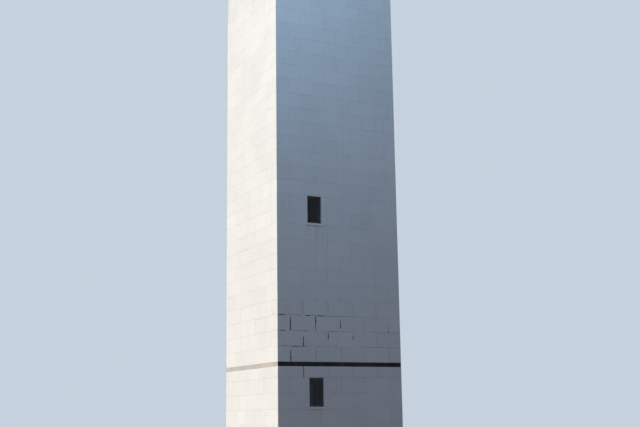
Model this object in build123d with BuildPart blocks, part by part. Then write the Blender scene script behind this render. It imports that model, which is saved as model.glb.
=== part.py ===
from build123d import *
import os

# Observation tower: a square blockwork shaft with narrow windows, a doorway and an open viewing deck
# The origin is on the ground under the middle of the shaft, +Z is up and the front faces -Y
# All lengths are in millimetres

# Blockwork: the wall is one block thick, so a block's end shows as half a block at a corner
block_length = 600
blocks_per_side = 5
course_height = 330
courses_per_storey = 12
courses_of_top_storey = 13
storeys = 3
wall_thickness = 300

# Base slab, which is also the ground floor
base_height = 150
base_projection = 40
base_chamfer = 15

# Floor slabs, which bear in a rebate along the top of the walls below
floor_thickness = 180
floor_bearing = 100
floor_edge_joint = 5
stair_opening_width = 900
stair_opening_length = 1700
stair_opening_margin = 150

# Windows, in the storeys listed
window_storeys = (1, 2)
window_width = 340
window_courses = 2
window_head_course = 7
window_blocks_from_corner = 1.5
window_setback = 40
window_frame_width = 28
window_frame_depth = 60
sill_thickness = 50
sill_nose = 20
sill_horn = 25
sill_chamfer = 6
glass_thickness = 6
glazing_groove = 8

# Doorway in the right wall
door_width = 1000
door_head_course = 7
door_setback = 120
door_frame_width = 50
door_frame_depth = 100
threshold_thickness = 50
threshold_nose = 30
threshold_chamfer = 8

# Deck, parapet and coping, with the parapet as thick as the walls under it
deck_thickness = 200
deck_overhang = 120
deck_chamfer = 15
parapet_courses = 2
coping_thickness = 80
coping_overhang = 30
coping_chamfer = 12

# Hatch over the stair opening
hatch_opening = 800
kerb_gap = 150
kerb_width = 100
kerb_height = 150
lid_plate = 5
lid_rim_depth = 60
lid_side_clearance = 10
handle_length = 160
handle_height = 45
handle_bar = 14
handle_from_edge = 120

# Guard rail of square tube on the coping
guard_height = 1120
rail_tube = 40
rail_tube_radius = 5
mid_rail_drop = 190
rail_plate_size = 110
rail_plate_thickness = 8

# Derived lengths
side = blocks_per_side * block_length
room = side - 2 * wall_thickness
wall_line = (side - wall_thickness) / 2
storey_height = courses_per_storey * course_height
shaft_top = base_height + (storeys - 1) * storey_height + courses_of_top_storey * course_height
deck_top = shaft_top + deck_thickness
parapet_top = deck_top + parapet_courses * course_height
coping_top = parapet_top + coping_thickness
floor_span = room + 2 * floor_bearing
pocket_span = floor_span + 2 * floor_edge_joint
window_height = window_courses * course_height
window_x = window_blocks_from_corner * block_length - side / 2
frame_height = window_height - sill_thickness
frame_y = -side / 2 + window_setback + window_frame_depth / 2
clear_width = window_width - 2 * window_frame_width
clear_height = frame_height - 2 * window_frame_width
glass_width = clear_width + 2 * glazing_groove
glass_height = clear_height + 2 * glazing_groove
door_height = door_head_course * course_height
stair_left = -room / 2 + stair_opening_margin
stair_back = room / 2 - stair_opening_margin
hatch_x = -room / 2 + kerb_gap + kerb_width + hatch_opening / 2
hatch_y = -hatch_x

os.makedirs("parts", exist_ok=True)


def save(piece, label):
    """Name a finished piece and write it to its own file."""
    piece.label = label
    export_step(piece, f"parts/{label}.step")


def storey_bottom(storey):
    """Height at which the walls of a storey start, counting storeys from 1."""
    return base_height + (storey - 1) * storey_height


def storey_top(storey):
    """Height at which the walls of a storey end, which for the last one is under the deck."""
    if storey == storeys:
        return shaft_top
    return storey_bottom(storey) + storey_height


def window_bottom(storey):
    """Height of the course line under a storey's window opening."""
    return storey_bottom(storey) + window_head_course * course_height - window_height


def base():
    """The cast slab under the shaft, with a small chamfer round its top edge."""
    with BuildPart() as slab:
        with BuildSketch():
            Rectangle(side + 2 * base_projection, side + 2 * base_projection)
        extrude(amount=base_height)
        chamfer(slab.faces().sort_by(Axis.Z)[-1].edges(), length=base_chamfer)
    return slab.part


def front_wall(storey, has_window, carries_floor):
    """The front wall of one storey, over the full width of the shaft."""
    with BuildPart() as wall:
        with BuildSketch(Plane.XY.offset(storey_bottom(storey))):
            with Locations((0, -wall_line)):
                Rectangle(side, wall_thickness)
        extrude(amount=storey_top(storey) - storey_bottom(storey))
        if has_window:
            with BuildSketch(Plane.XY.offset(window_bottom(storey))):
                with Locations((window_x, -wall_line)):
                    Rectangle(window_width, wall_thickness)
            extrude(amount=window_height, mode=Mode.SUBTRACT)
        if carries_floor:
            with BuildSketch(Plane.XY.offset(storey_top(storey) - floor_thickness)):
                Rectangle(pocket_span, pocket_span)
            extrude(amount=floor_thickness, mode=Mode.SUBTRACT)
    return wall.part


def left_wall(storey, carries_floor):
    """The left wall of one storey, between the front and back walls."""
    with BuildPart() as wall:
        with BuildSketch(Plane.XY.offset(storey_bottom(storey))):
            with Locations((-wall_line, 0)):
                Rectangle(wall_thickness, room)
        extrude(amount=storey_top(storey) - storey_bottom(storey))
        if carries_floor:
            with BuildSketch(Plane.XY.offset(storey_top(storey) - floor_thickness)):
                Rectangle(pocket_span, pocket_span)
            extrude(amount=floor_thickness, mode=Mode.SUBTRACT)
    return wall.part


def door_side_wall():
    """The piece of the right wall between the front wall and the doorway."""
    length = (room - door_width) / 2
    with BuildPart() as wall:
        with BuildSketch(Plane.XY.offset(base_height)):
            with Locations((wall_line, -(room - length) / 2)):
                Rectangle(wall_thickness, length)
        extrude(amount=door_height)
    return wall.part


def over_door_wall(storey):
    """The piece of the right wall over the doorway, which carries the floor above."""
    with BuildPart() as wall:
        with BuildSketch(Plane.XY.offset(base_height + door_height)):
            with Locations((wall_line, 0)):
                Rectangle(wall_thickness, room)
        extrude(amount=storey_top(storey) - base_height - door_height)
        with BuildSketch(Plane.XY.offset(storey_top(storey) - floor_thickness)):
            Rectangle(pocket_span, pocket_span)
        extrude(amount=floor_thickness, mode=Mode.SUBTRACT)
    return wall.part


def floor_slab(storey):
    """A floor slab, level with the foot of its storey's walls, with its stair opening."""
    with BuildPart() as slab:
        with BuildSketch(Plane.XY.offset(storey_bottom(storey) - floor_thickness)):
            Rectangle(floor_span, floor_span)
            with Locations((stair_left + stair_opening_width / 2, stair_back - stair_opening_length / 2)):
                Rectangle(stair_opening_width, stair_opening_length, mode=Mode.SUBTRACT)
        extrude(amount=floor_thickness)
    return slab.part


def window_sill(storey):
    """A sill through the whole wall, with a nose outside that is wider than the opening."""
    face = -side / 2
    with BuildPart() as sill:
        with BuildSketch(Plane.XY.offset(window_bottom(storey))):
            with Locations((window_x, -wall_line)):
                Rectangle(window_width, wall_thickness)
            with Locations((window_x, face - sill_nose / 2)):
                Rectangle(window_width + 2 * sill_horn, sill_nose)
        extrude(amount=sill_thickness)
        outer_edges = sill.edges().filter_by(Axis.X).group_by(Axis.Y)[0]
        chamfer(outer_edges.sort_by(Axis.Z)[-1], length=sill_chamfer)
    return sill.part


def frame_middle(storey):
    """Height of the middle of a storey's window frame, which stands on the sill."""
    return window_bottom(storey) + sill_thickness + frame_height / 2


def window_frame(storey):
    """A frame that stands on the sill and fills the opening, grooved inside for the glass."""
    with BuildPart() as ring:
        with BuildSketch(Plane.XZ.offset(-frame_y)):
            with Locations((window_x, frame_middle(storey))):
                Rectangle(window_width, frame_height)
                Rectangle(clear_width, clear_height, mode=Mode.SUBTRACT)
        extrude(amount=window_frame_depth / 2, both=True)
        with BuildSketch(Plane.XZ.offset(-frame_y)):
            with Locations((window_x, frame_middle(storey))):
                Rectangle(glass_width, glass_height)
        extrude(amount=glass_thickness / 2, both=True, mode=Mode.SUBTRACT)
    return ring.part


def window_pane(storey):
    """The glass, which fills the frame's groove."""
    with BuildPart() as pane:
        with BuildSketch(Plane.XZ.offset(-frame_y)):
            with Locations((window_x, frame_middle(storey))):
                Rectangle(glass_width, glass_height)
        extrude(amount=glass_thickness / 2, both=True)
    return pane.part


def threshold():
    """A threshold through the doorway, with a nose over the base slab's edge."""
    length = wall_thickness + threshold_nose
    with BuildPart() as stone:
        with BuildSketch(Plane.XY.offset(base_height)):
            with Locations((side / 2 + threshold_nose - length / 2, 0)):
                Rectangle(length, door_width)
        extrude(amount=threshold_thickness)
        outer_edges = stone.edges().filter_by(Axis.Y).group_by(Axis.X)[-1]
        chamfer(outer_edges.sort_by(Axis.Z)[-1], length=threshold_chamfer)
    return stone.part


def door_lining():
    """Two jambs and a head, standing on the threshold."""
    height = door_height - threshold_thickness
    clear_height = height - door_frame_width
    bottom = base_height + threshold_thickness
    middle_x = side / 2 - door_setback - door_frame_depth / 2
    with BuildPart() as lining:
        with BuildSketch(Plane.YZ.offset(middle_x)):
            with Locations((0, bottom + height / 2)):
                Rectangle(door_width, height)
            with Locations((0, bottom + clear_height / 2)):
                Rectangle(door_width - 2 * door_frame_width, clear_height, mode=Mode.SUBTRACT)
        extrude(amount=door_frame_depth / 2, both=True)
    return lining.part


def deck():
    """The deck slab over the whole shaft, with a raised kerb round the hatch opening."""
    with BuildPart() as slab:
        with BuildSketch(Plane.XY.offset(shaft_top)):
            Rectangle(side + 2 * deck_overhang, side + 2 * deck_overhang)
        extrude(amount=deck_thickness)
        chamfer(slab.faces().sort_by(Axis.Z)[-1].edges(), length=deck_chamfer)
        with BuildSketch(Plane.XY.offset(deck_top)):
            with Locations((hatch_x, hatch_y)):
                Rectangle(hatch_opening + 2 * kerb_width, hatch_opening + 2 * kerb_width)
        extrude(amount=kerb_height)
        with BuildSketch(Plane.XY.offset(shaft_top)):
            with Locations((hatch_x, hatch_y)):
                Rectangle(hatch_opening, hatch_opening)
        extrude(amount=deck_thickness + kerb_height, mode=Mode.SUBTRACT)
    return slab.part


def lid():
    """A shallow steel tray upside down over the kerb, with a bar handle on top."""
    kerb_top = deck_top + kerb_height
    inner = hatch_opening + 2 * kerb_width + 2 * lid_side_clearance
    outer = inner + 2 * lid_plate
    with BuildPart() as tray:
        with BuildSketch(Plane.XY.offset(kerb_top - lid_rim_depth)):
            with Locations((hatch_x, hatch_y)):
                Rectangle(outer, outer)
        extrude(amount=lid_rim_depth + lid_plate)
        with BuildSketch(Plane.XY.offset(kerb_top - lid_rim_depth)):
            with Locations((hatch_x, hatch_y)):
                Rectangle(inner, inner)
        extrude(amount=lid_rim_depth, mode=Mode.SUBTRACT)
        handle_y = hatch_y - outer / 2 + handle_from_edge
        with BuildSketch(Plane.XZ.offset(-handle_y)):
            with Locations((hatch_x, kerb_top + lid_plate + handle_height / 2)):
                Rectangle(handle_length, handle_height)
            with Locations((hatch_x, kerb_top + lid_plate + (handle_height - handle_bar) / 2)):
                Rectangle(handle_length - 2 * handle_bar, handle_height - handle_bar, mode=Mode.SUBTRACT)
        extrude(amount=handle_bar / 2, both=True)
    return tray.part


def parapet():
    """The front parapet wall, whose right end stops at the side of the next one."""
    length = side - wall_thickness
    with BuildPart() as wall:
        with BuildSketch(Plane.XY.offset(deck_top)):
            with Locations((-wall_thickness / 2, -wall_line)):
                Rectangle(length, wall_thickness)
        extrude(amount=parapet_top - deck_top)
    return wall.part


def coping():
    """The front coping, mitred at both ends, with its long top edges chamfered."""
    outer = side / 2 + coping_overhang
    inner = room / 2 - coping_overhang
    with BuildPart() as slab:
        with BuildSketch(Plane.XY.offset(parapet_top)):
            with BuildLine():
                Polyline((-outer, -outer), (outer, -outer), (inner, -inner), (-inner, -inner), close=True)
            make_face()
        extrude(amount=coping_thickness)
        long_edges = slab.edges().filter_by(Axis.X).group_by(Axis.Z)[-1]
        chamfer(long_edges, length=coping_chamfer)
    return slab.part


def guard_rail():
    """The front guard rail: a corner post, a middle post, a top rail and a mid rail."""
    half_tube = rail_tube / 2
    top = deck_top + guard_height
    post_foot = coping_top + rail_plate_thickness
    post_height = top - rail_tube - post_foot
    mid_rail_bottom = top - rail_tube - mid_rail_drop
    with BuildPart() as rail:
        with BuildSketch(Plane.XY.offset(coping_top)):
            with Locations((-wall_line, -wall_line), (0, -wall_line)):
                Rectangle(rail_plate_size, rail_plate_size)
        extrude(amount=rail_plate_thickness)
        with BuildSketch(Plane.XY.offset(post_foot)):
            with Locations((-wall_line, -wall_line), (0, -wall_line)):
                Rectangle(rail_tube, rail_tube)
        extrude(amount=post_height)
        with BuildSketch(Plane.XY.offset(top - rail_tube)):
            with Locations((-half_tube, -wall_line)):
                Rectangle(2 * wall_line, rail_tube)
        extrude(amount=rail_tube)
        with BuildSketch(Plane.XY.offset(mid_rail_bottom)):
            with Locations((0, -wall_line)):
                Rectangle(2 * wall_line - rail_tube, rail_tube)
        extrude(amount=rail_tube)
        top_edges = rail.edges().filter_by(Axis.X).group_by(Axis.Z)[-1]
        fillet(top_edges, radius=rail_tube_radius)
    return rail.part


# The front piece of each kind is turned about the shaft's axis to make the other sides
quarter_turns = {"front": 0, "right": 90, "back": 180, "left": 270}
half_turns = {"front": 0, "back": 180}

save(base(), "base_slab")

for storey in range(1, storeys + 1):
    has_window = storey in window_storeys
    carries_floor = storey < storeys
    wall = front_wall(storey, has_window, carries_floor)
    for name, angle in half_turns.items():
        save(wall.rotate(Axis.Z, angle), f"{name}_wall_storey_{storey}")
    wall = left_wall(storey, carries_floor)
    save(wall, f"left_wall_storey_{storey}")
    if storey > 1:
        save(wall.rotate(Axis.Z, 180), f"right_wall_storey_{storey}")
        save(floor_slab(storey), f"floor_storey_{storey}")

save(door_side_wall(), "right_wall_door_side_front")
save(door_side_wall().mirror(Plane.XZ), "right_wall_door_side_back")
save(over_door_wall(1), "right_wall_over_door")

for storey in window_storeys:
    for name, angle in half_turns.items():
        save(window_sill(storey).rotate(Axis.Z, angle), f"{name}_window_sill_{storey}")
        save(window_frame(storey).rotate(Axis.Z, angle), f"{name}_window_frame_{storey}")
        save(window_pane(storey).rotate(Axis.Z, angle), f"{name}_window_pane_{storey}")

save(threshold(), "door_threshold")
save(door_lining(), "door_frame")

save(deck(), "deck_slab")
save(lid(), "hatch_lid")

for name, angle in quarter_turns.items():
    save(parapet().rotate(Axis.Z, angle), f"parapet_{name}")
    save(coping().rotate(Axis.Z, angle), f"coping_{name}")
    save(guard_rail().rotate(Axis.Z, angle), f"rail_{name}")
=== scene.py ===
import math
import random

import bmesh
import bpy
from mathutils import Matrix, Vector, noise


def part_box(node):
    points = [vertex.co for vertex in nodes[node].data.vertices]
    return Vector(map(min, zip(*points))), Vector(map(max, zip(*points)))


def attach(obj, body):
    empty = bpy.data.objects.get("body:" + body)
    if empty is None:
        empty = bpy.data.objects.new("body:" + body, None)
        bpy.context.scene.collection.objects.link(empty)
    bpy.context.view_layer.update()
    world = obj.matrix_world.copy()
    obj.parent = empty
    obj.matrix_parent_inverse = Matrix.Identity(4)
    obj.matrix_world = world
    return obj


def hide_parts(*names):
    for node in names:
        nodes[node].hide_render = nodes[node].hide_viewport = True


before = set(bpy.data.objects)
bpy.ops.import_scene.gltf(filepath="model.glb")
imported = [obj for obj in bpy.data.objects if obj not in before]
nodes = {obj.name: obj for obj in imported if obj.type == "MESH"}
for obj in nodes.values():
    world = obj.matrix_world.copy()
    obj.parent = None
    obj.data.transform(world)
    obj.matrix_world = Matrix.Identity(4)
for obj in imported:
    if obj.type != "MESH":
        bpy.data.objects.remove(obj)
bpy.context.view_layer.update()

# Blockwork counts, and the sizes that the frame gives for them, in metres
BLOCKS_PER_SIDE = 5
COURSES_PER_STOREY = 12
STOREYS = 3
wall_low, wall_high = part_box("front_wall_storey_1")
SIDE = wall_high.x - wall_low.x
HALF = SIDE / 2
WALL = wall_high.y - wall_low.y
BLOCK = SIDE / BLOCKS_PER_SIDE
COURSE = (wall_high.z - wall_low.z) / COURSES_PER_STOREY
SHAFT_FOOT = wall_low.z
SHAFT_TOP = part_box("deck_slab")[0].z
SHAFT_COURSES = round((SHAFT_TOP - SHAFT_FOOT) / COURSE)

# A block's face: how far it stands out of the wall and runs back into it, its joints, its edges and its mesh
PROUD = 0.004
EMBED = 0.004
JOINT = 0.0012
ARRIS = 0.002
CORNER_ARRIS = 0.009
HOLD = 0.011
CELL = 0.08
FINE_CELL = 0.025
ROOM_CELL = 0.3
MIN_BLOCK = 0.04
LEAN = 0.0008
NOD = 0.001
EDGE_WOBBLE = 0.0007
SURFACE_WAVE = 0.0012

# The lintel over the doorway: how far it bears, and how near to its ends no other joint may lie
LINTEL_BEARING = 0.3
LINTEL_CLEAR = 0.05

# The bare band round the shaft over the lowest windows, under a course line
BAND_COURSES_UP = 8
BAND_HEIGHT = 0.09
BAND_TOP = SHAFT_FOOT + BAND_COURSES_UP * COURSE
BAND_FOOT = BAND_TOP - BAND_HEIGHT
BAND_STONES = 3
BAND_SET_BACK = 0.0015
BAND_EDGE_WEAR = 0.3

# Where the joints have opened: in a stretch above the lowest windows and a little at the foot
OPEN_MIDDLE = 3.12
OPEN_REACH = 0.80
OPEN_FOOT_SHARE = 0.4
OPEN_FOOT_REACH = 0.6
OPEN_WIDTH_UPRIGHT = 0.0155
OPEN_WIDTH_LEVEL = 0.0100
UPRIGHT_SOFT_END = 0.08
LEVEL_SOFT_END = 0.05
SOUND_FACE_SHARE = 0.1
HIDDEN_SHARE = 0.75
UNSEEN_FRONT_SHARE = 0.3

# Upright joints seen open on the front: (course, blocks from the left): (share of the width, from, to),
# with the stretch as shares of the course's height
SEEN_UPRIGHT = {
    (11, 1.0): (0.28, 0.1, 0.9),
    (11, 2.0): (0.20, 0.3, 1.0),
    (10, 0.5): (1.00, 0.0, 0.9),
    (10, 1.5): (0.95, 0.1, 1.0),
    (10, 2.5): (0.70, 0.2, 0.7),
    (9, 1.0): (1.00, 0.0, 0.6),
    (9, 2.0): (0.85, 0.5, 0.9),
    (9, 3.0): (0.75, 0.5, 0.75),
    (8, 0.5): (0.90, 0.0, 0.7),
    (8, 1.5): (0.20, 0.0, 0.8),
    (8, 2.5): (0.50, 0.6, 0.9),
    (7, 1.0): (0.65, 0.0, 1.0),
    (7, 2.0): (0.12, 0.0, 1.0),
}

# Level joints seen open on the front: course over the joint: stretches as (from, to, share of the width),
# in blocks from the left
SEEN_LEVEL = {
    11: ((0.0, 0.3, 1.0), (0.7, 0.95, 0.35), (1.12, 1.3, 1.0), (1.3, 1.5, 0.5), (1.55, 1.9, 0.9),
         (1.9, 2.6, 0.3)),
    10: ((0.1, 0.3, 0.9), (0.6, 0.85, 0.5), (1.0, 1.15, 0.7), (2.0, 2.4, 0.3)),
    9: ((0.2, 0.4, 0.7), (0.55, 0.85, 0.9), (0.92, 1.1, 0.7), (1.5, 1.8, 0.25)),
}

# Each outer face of the shaft: the corner it starts at, the way it runs and the way it looks
FACES = {
    "front": (Vector((-HALF, -HALF, 0)), Vector((1, 0, 0)), Vector((0, -1, 0))),
    "right": (Vector((HALF, -HALF, 0)), Vector((0, 1, 0)), Vector((1, 0, 0))),
    "back": (Vector((HALF, HALF, 0)), Vector((-1, 0, 0)), Vector((0, 1, 0))),
    "left": (Vector((-HALF, HALF, 0)), Vector((0, -1, 0)), Vector((-1, 0, 0))),
}
FACE_ORDER = list(FACES)


# Small helpers

def add_object(name, data):
    """A new object in the scene."""
    made = bpy.data.objects.new(name, data)
    bpy.context.scene.collection.objects.link(made)
    return made


def new_piece(name, mesh):
    """A new mesh object with smooth shading."""
    mesh.shade_smooth()
    return add_object(name, mesh)


def bmesh_piece(name, shape, bevel=0.0, segments=2):
    """A new mesh object from a bmesh, with its sharp edges rounded."""
    mesh = bpy.data.meshes.new(name)
    shape.to_mesh(mesh)
    shape.free()
    piece = new_piece(name, mesh)
    if bevel:
        rounding = piece.modifiers.new("rounding", "BEVEL")
        rounding.width = bevel
        rounding.segments = segments
        rounding.limit_method = "ANGLE"
        rounding.harden_normals = True
    return piece


def finish_piece(piece, material):
    """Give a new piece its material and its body."""
    piece.data.materials.append(material)
    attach(piece, "root")
    return piece


def add_skin(shape, loops, capped=True):
    """Join each loop of vertices to the next with four-sided faces, and close both ends if it is capped."""
    if capped:
        shape.faces.new(list(reversed(loops[0])))
        shape.faces.new(loops[-1])
    for a, b in zip(loops, loops[1:]):
        for k in range(len(a)):
            n = (k + 1) % len(a)
            shape.faces.new((a[k], a[n], b[n], b[k]))


def add_prism(shape, outline, low, high):
    """Add an upright prism over a plan outline that runs anticlockwise."""
    add_skin(shape, [[shape.verts.new((x, y, z)) for x, y in outline] for z in (low, high)])


def add_box(shape, low, high):
    """Add a box between two corners."""
    outline = [(low[0], low[1]), (high[0], low[1]), (high[0], high[1]), (low[0], high[1])]
    add_prism(shape, outline, low[2], high[2])


def turn_to(shape, face):
    """Turn a shape that was made at the front, so that it stands at another face."""
    turn = Matrix.Rotation(FACE_ORDER.index(face) * math.pi / 2, 3, "Z")
    bmesh.ops.rotate(shape, verts=shape.verts, cent=(0, 0, 0), matrix=turn)


def face_outward(shape):
    """Make all faces of a shape look outward."""
    bmesh.ops.recalc_face_normals(shape, faces=shape.faces)


def span(face, way, name):
    """From where to where a node reaches along a way, from the corner at which a face starts."""
    return sorted((corner - FACES[face][0]).dot(way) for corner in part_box(name))


# Blockwork

def tone_of(*key):
    """A tone from -1 to 1 that is always the same for the same block."""
    return random.Random("tone " + " ".join(map(str, key))).uniform(-1, 1)


def owns_corners(face, course):
    """Whether the face shows whole blocks at its ends in this course."""
    return (course % 2 == 1) == (face in ("front", "back"))


def openings_on(face):
    """The window and door openings of a face as (start, end, low, high) along it."""
    found = []
    for name in nodes:
        if name.startswith(f"{face}_window_frame") or (face == "right" and name == "door_frame"):
            sill = name.replace("frame", "sill") if "window" in name else "door_threshold"
            found.append((*span(face, FACES[face][1], name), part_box(sill)[0].z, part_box(name)[1].z))
    return found


OPENINGS = {face: openings_on(face) for face in FACES}


def course_marks(face, course, middle):
    """Where the blocks of one course on a face start and end."""
    if owns_corners(face, course):
        marks = [i * BLOCK for i in range(BLOCKS_PER_SIDE + 1)]
    else:
        marks = [0] + [(i + 0.5) * BLOCK for i in range(BLOCKS_PER_SIDE)] + [SIDE]
    for start, end, low, high in OPENINGS[face]:
        if face == "right" and high < middle < high + COURSE:
            first, last = start - LINTEL_BEARING, end + LINTEL_BEARING
            marks = [m for m in marks if m < first - LINTEL_CLEAR or m > last + LINTEL_CLEAR] + [first, last]
            marks.sort()
    return marks


def course_blocks(face, course, bottom):
    """The blocks of one course on a face, as (start, end, start kind, end kind, tone).

    No block meets more than one opening.
    """
    following = FACE_ORDER[(FACE_ORDER.index(face) + 1) % 4]
    middle = bottom + COURSE / 2
    marks = course_marks(face, course, middle)
    blocks = []
    for number, (start, end) in enumerate(zip(marks, marks[1:])):
        kinds = ["joint", "joint"]
        tone = tone_of(face, course, number)
        if start == 0:
            kinds[0] = "corner"
            tone = tone_of("corner", face, course)
        if end == SIDE:
            kinds[1] = "corner"
            tone = tone_of("corner", following, course)
        pieces = [(start, end, *kinds)]
        for gap_start, gap_end, low, high in OPENINGS[face]:
            if low < middle < high and start < gap_end and end > gap_start:
                pieces = [(start, gap_start, kinds[0], "reveal"), (gap_end, end, "reveal", kinds[1])]
        blocks += [(*piece, tone) for piece in pieces if piece[0] < piece[1]]
    return blocks


def edge_lines(kind):
    """Grid lines near one end of a block, as (distance in, drop, closeness to the edge).

    A closeness above 0 also lets the line move with the joint, the last one so that the face stays flat.
    """
    if kind == "corner":
        steps, radius, inset, held = ((45, 0), (60, 0), (75, 0), (90, 0)), CORNER_ARRIS, -PROUD, 0.0
    else:
        steps, radius, held = ((0, 1.0), (45, 0.8), (90, 0.6)), ARRIS, 0.01
        inset = 0.0 if kind == "reveal" else JOINT / 2
    lines = []
    for angle, closeness in steps:
        turn = math.radians(angle)
        lines.append((inset + radius * (1 - math.cos(turn)), radius * (1 - math.sin(turn)), closeness))
    return lines + [(inset + radius + HOLD, 0.0, held)]


def grid_lines(start, end, start_kind, end_kind, cell):
    """All grid lines across a block, as (place, drop, closeness, which way is outward)."""
    lines = [(start + d, drop, near, -1) for d, drop, near in edge_lines(start_kind)]
    last = [(end - d, drop, near, 1) for d, drop, near in reversed(edge_lines(end_kind))]
    inner_start, inner_end = lines[-1][0], last[0][0]
    cells = max(1, round((inner_end - inner_start) / cell))
    for i in range(1, cells):
        lines.append((inner_start + (inner_end - inner_start) * i / cells, 0.0, 0.0, 0))
    return lines + last


def step(value, low, high):
    """A smooth step from 0 to 1 between two values."""
    t = min(1.0, max(0.0, (value - low) / (high - low)))
    return t * t * (3 - 2 * t)


def stretch(value, start, end, soft):
    """1 between two values, falling to 0 over a soft end on either side."""
    return step(value, start - soft, start + soft) * (1 - step(value, end - soft, end + soft))


def weakness(height):
    """How likely the joints are to have opened at a height, from 0 to 1."""
    above = math.exp(-((height - OPEN_MIDDLE) / OPEN_REACH) ** 6)
    return max(above, OPEN_FOOT_SHARE * math.exp(-(height - SHAFT_FOOT) / OPEN_FOOT_REACH))


def patch(spot):
    """Where along the weak courses the joints have opened, from 0 to 1."""
    return step(noise.noise(Vector((spot.x * 0.9 + 4, spot.y * 0.9, spot.z * 1.6))), -0.3, 0.15)


def ragged(spot):
    """Uneven width along an open joint."""
    wide = 0.7 + 0.45 * noise.noise(spot * 7.5) + 0.6 * noise.noise(spot * 23.0)
    return min(1.4, max(0.05, wide + 0.35 * noise.noise(spot * 51.0)))


def upright_gap(face, course, joint, share, spot):
    """How far an upright joint has opened at a share of its course's height, from 0 to 1."""
    seen = SEEN_UPRIGHT.get((course, round(joint / BLOCK, 1))) if face == "front" else None
    if seen is None:
        draw = random.Random(f"upright {face} {course} {joint:.2f}")
        height = SHAFT_FOOT + (course + 0.5) * COURSE
        middle, reach = draw.random(), draw.uniform(0.25, 0.75)
        width = HIDDEN_SHARE * weakness(height) * patch(spot) * draw.random() ** 1.3
        seen = (width, middle - reach, middle + reach)
    width, start, end = seen
    return width * stretch(share, start, end, UPRIGHT_SOFT_END)


def level_gap(face, course, along, spot):
    """How far the joint under a course has opened at a place along it, from 0 to 1."""
    if BAND_FOOT - ARRIS < spot.z < BAND_TOP + ARRIS:
        return BAND_EDGE_WEAR
    chance = noise.noise(Vector((spot.x * 2.6, spot.y * 2.6, spot.z * 3.1)))
    gap = HIDDEN_SHARE * weakness(spot.z) * patch(spot) * step(chance, -0.02, 0.25)
    if face == "front":
        gap *= UNSEEN_FRONT_SHARE
        for start, end, width in SEEN_LEVEL.get(course, ()):
            gap = max(gap, width * stretch(along / BLOCK, start, end, LEVEL_SOFT_END))
    return gap


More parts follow.
